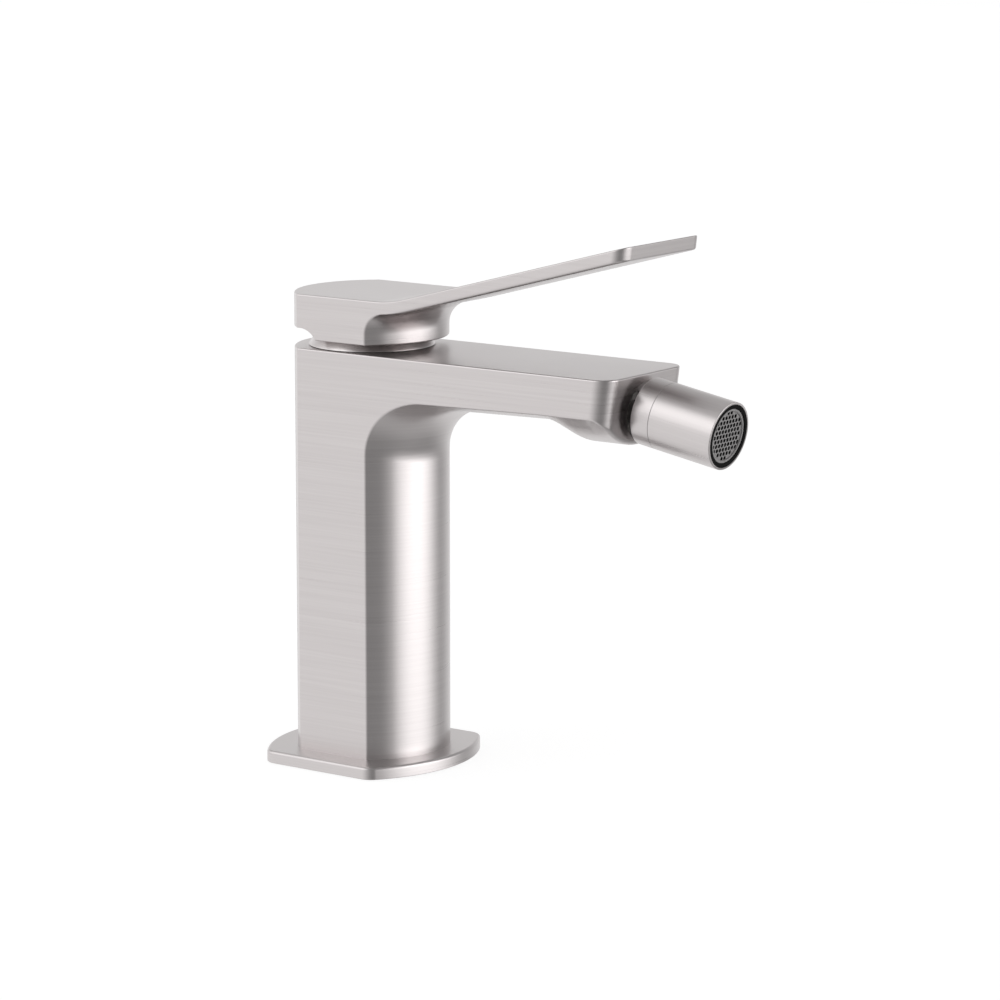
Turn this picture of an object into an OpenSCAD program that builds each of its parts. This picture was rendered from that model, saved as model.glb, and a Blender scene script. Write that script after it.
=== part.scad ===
// Bidet mixer: a column body with a flat spout, a turning and lifting lever,
// a ceramic-disc cartridge and a nozzle on a ball joint.
// Millimetres. The deck is z = 0, the column stands on the z axis and the spout points along -y.

/* [Column] */
// Width between the flat sides of the column, spout and lever
body_width = 40; // [32:0.5:50]
// Depth of the column at its middle, from bowed front to bowed back
body_depth = 44.6; // [38:0.2:52]
// Radius of the bowed front and back faces
bow_radius = 25.2; // [24:0.1:40]
// Height of the body's top face above the deck
body_height = 124.5; // [110:0.5:160]

/* [Base plate] */
// Width of the base plate between its flat sides
base_width = 55.7; // [50:0.1:65]
// Depth of the base plate at its middle
base_depth = 58.4; // [54:0.1:66]
// Radius of the base plate's bowed ends
base_bow_radius = 42.7; // [38:0.1:60]
// Plan radius of the base plate's corners
base_corner_radius = 5; // [1:0.1:6]
// Thickness of the base plate
base_thickness = 3.7; // [3:0.1:6]
// Radius of the body's spigot that centres the base plate
spigot_radius = 17.5; // [16.5:0.1:18.5]
// Radial width of the gasket under the base plate
gasket_width = 3; // [2:0.1:4]
// Thickness of the gasket under the base plate
gasket_thickness = 1.5; // [1:0.1:2]

/* [Spout] */
// Distance from the column's axis to the spout's end face
spout_reach = 98.3; // [85:0.1:120]
// Plan radius of the spout's end corners
spout_corner_radius = 5.6; // [1:0.1:7]
// Height of the spout's flat side where it leaves the column
spout_root_height = 12.6; // [12:0.1:16]
// Height of the spout's flat side at its end
spout_end_height = 11.4; // [10.5:0.1:13]
// How far the spout's bowed underside hangs below its side edges
belly_sag = 3.6; // [3:0.1:6]
// Length of the end boss that carries the nozzle
boss_length = 14.2; // [12.5:0.1:18]
// Length of the curved step from the underside down to the boss
boss_blend = 11.5; // [10:0.1:24]
// How far the boss's bowed underside hangs below its side edges
boss_sag = 9.3; // [8.5:0.1:11]
// Backward lean of the spout's end face, in degrees
end_lean = 7.5; // [0:0.5:9]
// Length of the bend under the spout
bend_length = 20.9; // [16:0.1:26]
// Height of the bend under the spout
bend_height = 17.1; // [12:0.1:22]

/* [Connections] */
// Radius of the recess for the hoses in the column's foot
recess_radius = 15.5; // [14:0.1:15.8]
// Height of the recess for the hoses
recess_height = 28; // [20:0.5:40]
// Tapping radius of an M10x1 hose inlet
inlet_radius = 4.5; // [4:0.1:4.8]
// Length of an inlet's thread
inlet_length = 12; // [10:0.5:16]
// Tapping radius of the M8 fixing stud's hole
stud_radius = 3.4; // [3:0.1:3.6]
// Length of the fixing stud's thread
stud_length = 16; // [12:0.5:20]
// Distance of the stud's hole behind the column's axis
stud_offset = 9; // [8:0.1:11]
// Radius of the waterways inside the body
waterway_radius = 2.4; // [2:0.1:2.6]
// Radius of the waterway along the spout
spout_waterway_radius = 3.2; // [2.6:0.1:3.4]
// Depth of the spout's waterway below the body's top
spout_waterway_drop = 10.5; // [10:0.1:11]

/* [Cartridge] */
// Depth of the cartridge's seat below the body's top
seat_drop = 30.5; // [30.5:0.1:36]
// Depth of the stem's pivot below the body's top
pivot_drop = 11; // [10.6:0.1:11.4]
// Radius of the cartridge's housing
housing_radius = 12.5; // [12.3:0.1:13]
// Wall of the cartridge's housing
housing_wall = 1.3; // [1.2:0.1:1.5]
// Thickness of the housing's top plate
housing_top = 3.7; // [3.4:0.1:3.9]
// Depth of the housing's top below the body's top
housing_drop = 5; // [4.6:0.1:5.4]
// Gap round the housing that carries the mixed water
chamber_gap = 0.9; // [0.7:0.1:1.2]
// Thickness of the cartridge's base
cartridge_base_height = 4; // [3.4:0.1:4.4]
// Sideways distance of each inlet port from the axis
port_side = 6.5; // [6.2:0.1:6.8]
// Forward distance of the inlet ports from the axis
port_front = 4; // [3.8:0.1:4.2]
// Radius of the ports in base and fixed disc
port_radius = 2; // [1.6:0.1:2.2]
// Radius of the mixed water's way out through fixed disc and base
outlet_radius = 2.4; // [2:0.1:2.6]
// Distance of the mixed water's way out behind the axis
outlet_back = 5.2; // [4.8:0.1:5.6]
// Floor left under the mixed water's way out
outlet_floor = 1.4; // [1:0.1:1.8]
// Height of the slot that leads the mixed water out of the base
outlet_height = 1.6; // [1.2:0.1:2]
// Outer radius of a port seal
port_seal_radius = 4.5; // [4:0.1:4.6]
// Thickness of a port seal
port_seal_height = 1.4; // [1:0.1:1.8]
// Radius of the fixed ceramic disc
fixed_disc_radius = 10.2; // [10:0.1:10.6]
// Radius of the moving ceramic disc
moving_disc_radius = 8.5; // [8.2:0.1:8.7]
// Thickness of each ceramic disc
disc_height = 3; // [2.6:0.1:3.2]
// Width of the mixing pocket in the moving disc
pocket_width = 10.8; // [10:0.1:11]
// Length of the mixing pocket in the moving disc
pocket_length = 7.4; // [7:0.1:7.6]
// Thickness of the plate that carries the moving disc
carrier_height = 3.6; // [3.2:0.1:3.8]
// Radius of the rotor's neck
rotor_radius = 8.8; // [8.5:0.1:9.2]
// Radius of the rotor's flange
rotor_flange_radius = 10.9; // [10.5:0.1:11]
// Height of the rotor's top above the housing
rotor_rise = 3; // [2:0.1:3.4]
// Radius of the pivot pin
pin_radius = 1.5; // [1.2:0.1:1.8]
// Width of the square stem
stem_width = 7; // [6:0.1:7.2]
// Radius of the stem's round foot
foot_radius = 2.1; // [1.9:0.05:2.2]
// Distance from the pivot down to the centre of the stem's foot
foot_drop = 7.3; // [7.2:0.05:7.4]
// Thread radius of the nut over the cartridge
nut_radius = 14.45; // [14:0.05:15]
// Height of the nut over the cartridge
nut_height = 4.5; // [3.6:0.1:4.6]
// Radius of the nut's hole
nut_hole_radius = 9.8; // [9.5:0.1:10.5]

/* [Trim ring] */
// Outer radius of the domed ring at its lower edge
trim_radius = 18.8; // [18.2:0.1:19.2]
// Wall of the domed ring
trim_wall = 1.2; // [1:0.1:1.4]
// Shadow gap between the body's top and the domed ring
trim_gap = 0.1; // [0.05:0.05:0.4]
// Radius of the opening in the dome
trim_hole_radius = 13.6; // [13.4:0.1:14]
// Outer radius of the ring's skirt in the body
skirt_radius = 16.4; // [16:0.1:16.8]
// Depth of the skirt's seat below the body's top
skirt_drop = 2.3; // [2:0.1:2.6]

/* [Lever] */
// Gap between the body's top and the lever's hub
hub_gap = 2.7; // [2.4:0.1:3.2]
// Height of the lever's hub
hub_height = 13.3; // [13:0.1:15]
// Distance from the axis to the blade's tip
blade_reach = 103.3; // [80:0.1:130]
// Upward angle of the blade
blade_angle = 15; // [8:0.5:20]
// Thickness of the blade
blade_thickness = 3.9; // [3:0.1:4.4]
// Distance from the axis to the bend between hub and blade
blade_bend_reach = 21.5; // [21:0.1:24]
// Radius of the bend on the blade's upper face
blade_bend_radius = 40; // [20:1:50]
// Radius of the bend on the blade's underside
under_bend_radius = 60; // [40:1:90]
// Radius of the fillet between hub and blade
blade_fillet_radius = 6.3; // [5:0.1:8]
// Plan radius of the blade's tip corners
tip_corner_radius = 4.3; // [2:0.1:8]
// Undercut of the blade's end face
tip_undercut = 0.5; // [0:0.1:1]
// Radius of the relief under the hub's back
relief_radius = 7; // [6:0.1:13]
// Height of the relief under the hub's back
relief_rise = 3.3; // [3.2:0.05:3.6]
// Distance behind the axis where the relief's curve levels out
relief_reach = 11.6; // [10:0.1:13]
// Radius of the boss that holds the stem
stem_boss_radius = 6.3; // [6:0.1:6.5]
// How far the boss that holds the stem hangs below the dome's crown
stem_boss_drop = 6.9; // [6.4:0.1:7.2]
// Cover left over the stem's socket
hub_cover = 2; // [1.8:0.1:2.1]
// Radius of the M4 set screw
screw_radius = 1.95; // [1.5:0.05:2.1]
// Length of the set screw
screw_length = 8; // [6:0.5:12]
// Radius of the plug over the set screw
plug_radius = 2.45; // [2.4:0.05:2.9]
// Depth of the plug over the set screw
plug_depth = 2.2; // [1.6:0.1:3]

/* [Nozzle] */
// Outer radius of the nozzle
nozzle_radius = 9.85; // [9.7:0.05:10.2]
// Distance from the ball's centre to the nozzle's tip
nozzle_length = 21.9; // [20.5:0.1:28]
// Distance from the ball's centre back to the collar's rear
collar_back = 5; // [4.6:0.1:5.2]
// Distance from the ball's centre forward to the seam
collar_front = 1; // [0.6:0.1:1.6]
// Chamfer of the collar's rear edge
collar_chamfer = 0.5; // [0.4:0.1:0.8]
// Free space round the collar's rear edge in the spout's cup
cup_gap = 0.2; // [0.15:0.05:0.3]
// Chamfer at the seam and at the tip
edge_chamfer = 0.25; // [0.1:0.05:0.4]
// Downward angle of the nozzle as it rests
nozzle_dip = 10; // [0:0.5:12]
// Depth of the ball's centre below the body's top
ball_drop = 11.6; // [11.4:0.1:11.8]
// Distance from the spout's end face to the ball's centre
ball_reach = 5.55; // [5.4:0.05:7.2]
// Radius of the ball
ball_radius = 7; // [6.7:0.05:7.1]
// Radius of the ball's neck
neck_radius = 3.5; // [3.2:0.1:3.7]
// Radius of the water bore through the ball
ball_bore_radius = 2.2; // [1.6:0.1:2.4]
// Wall of the liner round the ball
liner_wall = 0.56; // [0.4:0.02:0.6]
// Distance from the ball's centre back to the liner's rear edge
liner_back = 4.2; // [3.8:0.1:4.4]
// Distance from the ball's centre forward to the liner's front edge
liner_front = 2.4; // [2:0.1:2.4]
// Thread radius of the ball's stem
stem_thread_radius = 5; // [4.6:0.1:5.2]
// Length of the ball stem's thread
stem_thread_length = 8.7; // [7:0.1:9]
// Radius of the ball stem's flange
stem_flange_radius = 6.2; // [5.8:0.1:6.5]
// Thickness of the ball stem's flange
stem_flange_height = 0.8; // [0.6:0.1:1]
// Thickness of the seal under the flange
stem_seal_height = 0.6; // [0.4:0.1:0.8]
// Thread radius between collar and sleeve
collar_thread_radius = 8.6; // [8.5:0.05:8.8]
// Distance from the ball's centre to the seat's rear face
seat_start = 4.4; // [4.3:0.1:4.6]
// Thickness of the seat in front of the ball
seat_height = 2.6; // [2.4:0.1:3]
// Thickness of the seal in front of the seat
seat_seal_height = 1; // [0.8:0.1:1.4]

/* [Aerator] */
// Outer radius of the aerator, an M18.5x1 thread
aerator_radius = 9.15; // [8.8:0.05:9.2]
// Length of the aerator's housing
aerator_length = 8.6; // [8:0.1:9]
// Wall of the aerator's housing
aerator_wall = 1.25; // [1.1:0.05:1.4]
// Thickness of the floor at the back of the housing
aerator_floor = 1.6; // [1.2:0.1:2]
// Thickness of the washer behind the aerator
washer_height = 0.8; // [0.6:0.1:1.2]
// Depth of the screen below the aerator's rim
screen_recess = 0.3; // [0.2:0.1:0.6]
// Thickness of the honeycomb screen
screen_height = 1.2; // [0.8:0.1:1.4]
// Width of the screen's rim
screen_rim = 0.6; // [0.5:0.05:0.8]
// Depth of the honeycomb below the screen's rim
cell_recess = 0.4; // [0.2:0.1:0.6]
// Pitch of the honeycomb cells
cell_pitch = 1.54; // [1.4:0.02:1.8]
// Wall between honeycomb cells
cell_wall = 0.4; // [0.3:0.05:0.5]

/* [Fits] */
// Radial clearance of turning fits
running_fit = 0.05; // [0.02:0.01:0.1]
// Radial clearance of threads and push fits
push_fit = 0.05; // [0.02:0.01:0.1]
// Free space between pieces that sweep past each other
sweep_gap = 0.3; // [0.2:0.05:0.45]

/* [Hidden] */
$fn = 96;

nickel = [0.77, 0.76, 0.74];
brass = [0.80, 0.66, 0.36];
steel = [0.70, 0.71, 0.72];
rubber = [0.12, 0.12, 0.12];
ceramic = [0.93, 0.92, 0.89];
white_plastic = [0.88, 0.88, 0.86];
grey_plastic = [0.55, 0.56, 0.57];
black_plastic = [0.07, 0.07, 0.08];

half_width = body_width / 2;
half_depth = body_depth / 2;
eps = 0.01;

// Heights inside the cartridge, from its seat upward
seat_z = body_height - seat_drop;
base_top_z = seat_z + cartridge_base_height;
fixed_top_z = base_top_z + disc_height;
moving_bottom_z = fixed_top_z + running_fit;
moving_top_z = moving_bottom_z + disc_height;
carrier_top_z = moving_top_z + carrier_height;
pivot_z = body_height - pivot_drop;
foot_z = pivot_z - foot_drop;
housing_top_z = body_height - housing_drop;
housing_plate_z = housing_top_z - housing_top;
rotor_bottom_z = carrier_top_z + sweep_gap;
rotor_flange_z = housing_plate_z - 0.2;
rotor_top_z = housing_top_z + rotor_rise;
housing_bore = housing_radius - housing_wall;
chamber_radius = housing_radius + chamber_gap;
seal_tube = (chamber_gap + 0.35) / 2 - push_fit / 2;
seal_z = housing_top_z - 1.3;
thread_z = housing_top_z - 0.2;
lift_angle = 15;

// The dome and the hub's hollow are spheres about the stem's pivot
trim_bottom_z = body_height + trim_gap;
dome_radius = sqrt(pow(trim_radius, 2) + pow(trim_bottom_z - pivot_z, 2));
hub_hollow_radius = dome_radius + sweep_gap + 0.15;
hub_bottom_z = body_height + hub_gap;
hub_top_z = hub_bottom_z + hub_height;
socket_top_z = hub_top_z - hub_cover;
stem_top_z = socket_top_z - 0.2;
screw_z = stem_top_z - screw_radius;
stem_boss_bottom_z = pivot_z + dome_radius - stem_boss_drop;

// The blade's upper face is level, bends and then climbs; its underside bends more gently
bend_tangent = blade_bend_radius * tan(blade_angle / 2);
bend_start = blade_bend_reach - bend_tangent;
upper_bend_end = bend_start + blade_bend_radius * sin(blade_angle);
under_bend_reach = blade_bend_reach + blade_thickness * tan(blade_angle / 2);
under_bend_start = under_bend_reach - under_bend_radius * tan(blade_angle / 2);
under_bend_end = under_bend_start + under_bend_radius * sin(blade_angle);

// The ball's centre and the cup that the collar swings in
ball_y = -(spout_reach + ball_reach);
ball_z = body_height - ball_drop;
cup_radius = norm([nozzle_radius, collar_back - collar_chamfer]) + cup_gap;
flange_front = cup_radius - 0.4;
flange_back = flange_front + stem_flange_height;
stem_seat = flange_back + stem_seal_height;
stem_end = flange_back + stem_thread_length;
liner_inner = ball_radius + running_fit;
liner_outer = liner_inner + liner_wall;
socket_radius = liner_outer + running_fit;

// Stations along the nozzle, from the ball's centre towards the tip
seat_end = seat_start + seat_height;
shoulder = seat_end + seat_seal_height;
housing_start = nozzle_length - aerator_length;
washer_start = housing_start - washer_height;
core_radius = aerator_radius - aerator_wall - push_fit;
screen_top = nozzle_length - screen_recess;
screen_bottom = screen_top - screen_height;
core_start = housing_start + aerator_floor;

// Shape functions
// Distance of a bowed face from the middle plane at a given sideways place
function bow(x, radius, half) = sqrt(radius * radius - x * x) - (radius - half);

// Sideways places of the sections: close together round the corners, even between
function section_places(half, corner, steps) = [
    for (a = [90 : -22.5 : 22.5]) -(half - corner + corner * sin(a)),
    for (k = [-steps : steps]) k * (half - corner) / steps,
    for (a = [22.5 : 22.5 : 90]) half - corner + corner * sin(a)
];

// How far a rounded end reaches at a given sideways place
function rounded_reach(x, half, corner, reach) =
    reach - corner + sqrt(max(0, corner * corner - pow(max(0, abs(x) - half + corner), 2)));

// Smooth step from 0 to 1
function ease(t) = t <= 0 ? 0 : t >= 1 ? 1 : (1 - cos(180 * t)) / 2;

// Height of the spout's lower side edge at a distance from the column's axis
root_reach = bow(half_width, bow_radius, half_depth) + bend_length;
function spout_edge_z(d) =
    body_height - spout_root_height
    + (spout_root_height - spout_end_height)
    * min(1, max(0, (d - root_reach) / (spout_reach - boss_length - root_reach)));

// Sag of the underside below the side edges
function spout_sag(d) =
    belly_sag + (boss_sag - belly_sag)
    * ease((d - (spout_reach - boss_length - boss_blend)) / boss_blend);

// Height of the spout's underside
function spout_under_z(x, d) =
    let (s = spout_sag(d), r = (half_width * half_width + s * s) / (2 * s))
    spout_edge_z(d) - (sqrt(r * r - x * x) - (r - s));

// One section of the body, counted round from the back of its foot
function body_section(x) =
    let (
        front = bow(x, bow_radius, half_depth),
        reach = rounded_reach(x, half_width, spout_corner_radius, spout_reach),
        end_z = spout_under_z(x, reach),
        bend_end = front + bend_length,
        bend_top = spout_under_z(x, bend_end),
        blend_start = spout_reach - boss_length - boss_blend
    )
    [
        [x, front, base_thickness],
        [x, front, body_height],
        [x, -reach, body_height],
        [x, -reach + (body_height - end_z) * tan(end_lean), end_z],
        for (k = [10 : -1 : 0])
            let (d = blend_start + boss_blend * k / 10)
            [x, -d, spout_under_z(x, d)],
        for (a = [0 : 10 : 90])
            [x, -bend_end + bend_length * sin(a), bend_top - bend_height * (1 - cos(a))],
        [x, -front, base_thickness]
    ];

// The body's flat side, as a fan from the top of its back
function body_end_faces() =
    let (count = len(body_section(half_width)))
    [for (k = [2 : count - 1]) [1, k, (k + 1) % count]];

// Height of the blade's upper face and underside at a distance from the axis
function blade_upper_z(d) =
    hub_top_z + (d <= bend_start ? 0
    : d <= upper_bend_end
        ? blade_bend_radius - sqrt(pow(blade_bend_radius, 2) - pow(d - bend_start, 2))
        : blade_bend_radius * (1 - cos(blade_angle)) + (d - upper_bend_end) * tan(blade_angle));
function blade_under_z(d) =
    hub_top_z - blade_thickness + (d <= under_bend_start ? 0
    : d <= under_bend_end
        ? under_bend_radius - sqrt(pow(under_bend_radius, 2) - pow(d - under_bend_start, 2))
        : under_bend_radius * (1 - cos(blade_angle)) + (d - under_bend_end) * tan(blade_angle));

// Place and height on the relief under the hub's back
relief_z = hub_bottom_z + relief_rise - relief_radius;
relief_first = asin((hub_bottom_z - relief_z) / relief_radius);
relief_last = 84;
function relief_point(a) =
    [relief_reach - relief_radius * cos(a), relief_z + relief_radius * sin(a)];

// One section of the lever, counted round from the bottom of the hub's back
function lever_section(x) =
    let (
        face = bow(x, bow_radius, half_depth),
        reach = rounded_reach(x, half_width, tip_corner_radius, blade_reach),
        fillet = blade_fillet_radius,
        fillet_end = face + fillet,
        joint = max(under_bend_end, fillet_end + 0.5)
    )
    [
        [x, face, relief_point(relief_last)[1]],
        [x, face, hub_top_z],
        for (a = [0 : 3 : 15])
            let (d = bend_start + blade_bend_radius * sin(a * blade_angle / 15))
            [x, -d, blade_upper_z(d)],
        [x, -reach, blade_upper_z(reach)],
        [x, -reach + tip_undercut, blade_under_z(reach - tip_undercut)],
        for (k = [0 : 4])
            let (d = joint + (fillet_end - joint) * k / 4)
            [x, -d, blade_under_z(d)],
        for (a = [75 : -15 : 0])
            let (t = fillet * (1 - cos(a)), d = face + t)
            [x, -d, blade_under_z(d) - fillet * (1 - sin(a))],
        [x, -face, hub_bottom_z],
        for (k = [0 : 4])
            let (p = relief_point(relief_first + (relief_last - relief_first) * k / 4))
            [x, p[0], p[1]]
    ];

// The lever's flat side: the blade, the bend in strips and the hub as a fan from its back
function lever_end_faces() =
    let (count = len(lever_section(half_width)))
    concat(
        [[7, 8, 9], [7, 9, 10], [6, 7, 10]],
        [for (k = [0 : 3]) each [[2 + k, 3 + k, 13 - k], [2 + k, 13 - k, 14 - k]]],
        [[1, 2, 14]],
        [for (k = [14 : count - 1]) [1, k, (k + 1) % count]]
    );

// Outline of the base plate: bowed ends, flat sides and rounded corners
function base_outline() =
    let (
        half = base_width / 2,
        offset_y = base_bow_radius - base_depth / 2,
        r = base_corner_radius,
        px = half - r,
        py = sqrt(pow(base_bow_radius - r, 2) - px * px) - offset_y,
        turn = atan2(py + offset_y, px),
        quarter = concat(
            [for (k = [0 : 6]) let (a = turn * k / 6) [px + r * cos(a), py + r * sin(a)]],
            [for (k = [1 : 8])
                let (a = turn + (90 - turn) * k / 8)
                [base_bow_radius * cos(a), base_bow_radius * sin(a) - offset_y]]
        ),
        last = len(quarter) - 1
    )
    concat(
        quarter,
        [for (k = [last - 1 : -1 : 0]) [-quarter[k][0], quarter[k][1]]],
        [for (k = [0 : last]) [-quarter[k][0], -quarter[k][1]]],
        [for (k = [last - 1 : -1 : 0]) [quarter[k][0], -quarter[k][1]]]
    );

// Helper modules
// Skin over a row of sections that all have the same number of points.
// end_faces are the triangles that close the first section, as places in it.
module skin(sections, end_faces) {
    rows = len(sections);
    count = len(sections[0]);
    sides = [
        for (i = [0 : rows - 2])
            for (j = [0 : count - 1])
                let (k = (j + 1) % count)
                each [
                    [i * count + k, i * count + j, (i + 1) * count + j],
                    [i * count + k, (i + 1) * count + j, (i + 1) * count + k]
                ]
    ];
    far = (rows - 1) * count;
    far_faces = [for (f = end_faces) [far + f[2], far + f[1], far + f[0]]];
    polyhedron(
        points = [for (s = sections) each s],
        faces = concat(sides, end_faces, far_faces),
        convexity = 8
    );
}

// Flat ring
module ring(outer, inner, height) {
    difference() {
        cylinder(r = outer, h = height);
        translate([0, 0, -1]) cylinder(r = inner, h = height + 2);
    }
}

// Places its children at the two inlet ports
module at_ports() {
    for (side = [-1, 1]) translate([side * port_side, -port_front, 0]) children();
}

// Frame of the ball's stem: z runs from the ball's centre out of the spout
module at_ball() {
    translate([0, ball_y, ball_z]) rotate([90, 0, 0]) children();
}

// Frame of the nozzle: z runs from the ball's centre to the tip, dipped as it rests
module at_nozzle() {
    translate([0, ball_y, ball_z]) rotate([90 + nozzle_dip, 0, 0]) children();
}

// Sub-parts
module body() {
    color(nickel)
    difference() {
        union() {
            skin(
                [for (x = section_places(half_width, spout_corner_radius, 5)) body_section(x)],
                body_end_faces()
            );
            cylinder(r = spigot_radius, h = base_thickness + 1.5);
        }
        // Recess for the hoses, with the inlets and the stud's hole in its roof
        translate([0, 0, -1]) cylinder(r = recess_radius, h = recess_height + 1);
        at_ports() {
            translate([0, 0, recess_height - 1]) cylinder(r = inlet_radius, h = inlet_length + 1);
            translate([0, 0, recess_height]) cylinder(r = waterway_radius, h = seat_z - recess_height + 1);
        }
        translate([0, stud_offset, recess_height - 1]) cylinder(r = stud_radius, h = stud_length + 1);
        // Chamber of the cartridge, nut thread and seat of the trim ring
        translate([0, 0, seat_z]) cylinder(r = chamber_radius, h = seat_drop + 1);
        translate([0, 0, thread_z]) cylinder(r = nut_radius + push_fit, h = body_height - thread_z + 1);
        translate([0, 0, body_height - skirt_drop]) cylinder(r = skirt_radius + push_fit, h = skirt_drop + 1);
        // Waterway along the spout
        translate([0, -chamber_radius + 2, body_height - spout_waterway_drop]) rotate([90, 0, 0])
            cylinder(r = spout_waterway_radius, h = -ball_y - stem_end - chamber_radius + 3);
        // Cup and thread of the ball's stem
        at_ball() {
            sphere(r = cup_radius);
            translate([0, 0, -stem_seat]) cylinder(r = stem_flange_radius + push_fit, h = stem_seat);
            translate([0, 0, -stem_end - 0.5])
                cylinder(r = stem_thread_radius + push_fit, h = stem_end);
        }
    }
}

module base_plate() {
    color(nickel)
    difference() {
        linear_extrude(base_thickness) polygon(base_outline());
        translate([0, 0, -1]) cylinder(r = spigot_radius + push_fit, h = base_thickness + 2);
        translate([0, 0, -1])
            ring(gasket_outer() + push_fit, gasket_inner() - push_fit, gasket_thickness + 1);
    }
}
function gasket_inner() = spigot_radius + 3;
function gasket_outer() = gasket_inner() + gasket_width;

module base_gasket() {
    color(rubber) ring(gasket_outer(), gasket_inner(), gasket_thickness);
}

module cartridge_base() {
    color(white_plastic)
    difference() {
        translate([0, 0, seat_z]) cylinder(r = housing_radius - 0.1, h = cartridge_base_height);
        at_ports() {
            translate([0, 0, seat_z - 1]) cylinder(r = port_radius, h = cartridge_base_height + 2);
            translate([0, 0, seat_z - 1]) cylinder(r = port_seal_radius + push_fit, h = port_seal_height + 1);
        }
        // Way out for the mixed water, down through the base and out at its back
        translate([0, outlet_back, seat_z + outlet_floor])
            cylinder(r = outlet_radius, h = cartridge_base_height);
        translate([-outlet_radius, outlet_back, seat_z + outlet_floor])
            cube([2 * outlet_radius, housing_radius, outlet_height]);
    }
}

module port_seals() {
    color(rubber)
    at_ports() translate([0, 0, seat_z]) ring(port_seal_radius, waterway_radius + 0.3, port_seal_height);
}

module cartridge_housing() {
    color(white_plastic)
    difference() {
        translate([0, 0, base_top_z]) cylinder(r = housing_radius, h = housing_top_z - base_top_z);
        translate([0, 0, base_top_z - 1]) cylinder(r = housing_bore, h = housing_plate_z - base_top_z + 1);
        translate([0, 0, base_top_z]) cylinder(r = rotor_radius + running_fit, h = housing_top_z);
        translate([0, 0, seal_z - seal_tube - 0.1])
            ring(housing_radius + 1, housing_radius - 0.35, 2 * seal_tube + 0.2);
    }
}

module housing_seal() {
    color(rubber)
    translate([0, 0, seal_z])
    rotate_extrude()
        translate([housing_radius - 0.35 + push_fit / 2 + seal_tube, 0]) circle(r = seal_tube, $fn = 32);
}

module fixed_disc() {
    color(ceramic)
    difference() {
        translate([0, 0, base_top_z]) cylinder(r = fixed_disc_radius, h = disc_height);
        at_ports() translate([0, 0, base_top_z - 1]) cylinder(r = port_radius, h = disc_height + 2);
        translate([0, outlet_back, base_top_z - 1]) cylinder(r = outlet_radius, h = disc_height + 2);
    }
}

module moving_disc() {
    color(ceramic)
    difference() {
        translate([0, 0, moving_bottom_z]) cylinder(r = moving_disc_radius, h = disc_height);
        // Mixing pocket, clear of both inlets while the lever is down
        translate([-pocket_width / 2, port_radius - port_front + 0.4, moving_bottom_z - 1])
            cube([pocket_width, pocket_length, disc_height / 2 + 1]);
    }
}

module disc_carrier() {
    color(grey_plastic)
    difference() {
        translate([0, 0, moving_top_z]) cylinder(r = moving_disc_radius, h = carrier_height);
        translate([0, 0, moving_top_z - 1]) cylinder(r = foot_radius + 0.1, h = carrier_height + 2);
    }
}

module rotor() {
    slot = stem_width / 2 + running_fit + 0.05;
    sway_top = (rotor_top_z - pivot_z) * sin(lift_angle) + slot + sweep_gap;
    sway_bottom = 3 * sin(lift_angle) + slot + sweep_gap;
    color(grey_plastic)
    difference() {
        union() {
            translate([0, 0, rotor_bottom_z])
                cylinder(r = rotor_flange_radius, h = rotor_flange_z - rotor_bottom_z);
            translate([0, 0, rotor_bottom_z]) cylinder(r = rotor_radius, h = rotor_top_z - rotor_bottom_z);
        }
        // Slot that lets the stem rock
        translate([-slot, -slot - sweep_gap, pivot_z])
            cube([2 * slot, slot + sweep_gap + sway_top, rotor_top_z - pivot_z + 1]);
        translate([-slot, -sway_bottom, rotor_bottom_z - 1])
            cube([2 * slot, sway_bottom + slot + sweep_gap, pivot_z - rotor_bottom_z + 1 + eps]);
        translate([-half_width, 0, pivot_z]) rotate([0, 90, 0])
            cylinder(r = pin_radius + push_fit / 2, h = body_width);
    }
}

module pivot_pin() {
    half = rotor_radius - 0.5;
    color(steel) translate([-half, 0, pivot_z]) rotate([0, 90, 0]) cylinder(r = pin_radius, h = 2 * half);
}

module stem() {
    color(steel)
    difference() {
        union() {
            translate([-stem_width / 2, -stem_width / 2, pivot_z - 3])
                cube([stem_width, stem_width, stem_top_z - pivot_z + 3]);
            translate([0, 0, foot_z]) cylinder(r = foot_radius - 0.6, h = pivot_z - foot_z);
            translate([0, 0, foot_z]) sphere(r = foot_radius);
        }
        translate([-half_width, 0, pivot_z]) rotate([0, 90, 0])
            cylinder(r = pin_radius + running_fit, h = body_width);
    }
}

module cartridge_nut() {
    color(brass)
    difference() {
        translate([0, 0, housing_top_z]) ring(nut_radius, nut_hole_radius, nut_height);
        // Notches for a pin wrench
        for (a = [0 : 90 : 270])
            rotate([0, 0, a + 45])
                translate([nut_hole_radius - 1, -1.5, housing_top_z + nut_height - 2]) cube([3.2, 3, 4]);
    }
}

module trim_ring() {
    inner = skirt_radius - trim_wall;
    color(nickel)
    rotate_extrude() {
        intersection() {
            difference() {
                translate([0, pivot_z]) circle(r = dome_radius);
                translate([0, pivot_z]) circle(r = dome_radius - trim_wall);
            }
            translate([trim_hole_radius, trim_bottom_z]) square([trim_radius, dome_radius]);
        }
        translate([inner, trim_bottom_z]) square([trim_radius - trim_wall - inner, trim_wall]);
        translate([inner, body_height - skirt_drop]) square([trim_wall, skirt_drop + trim_gap + trim_wall]);
    }
}

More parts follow.
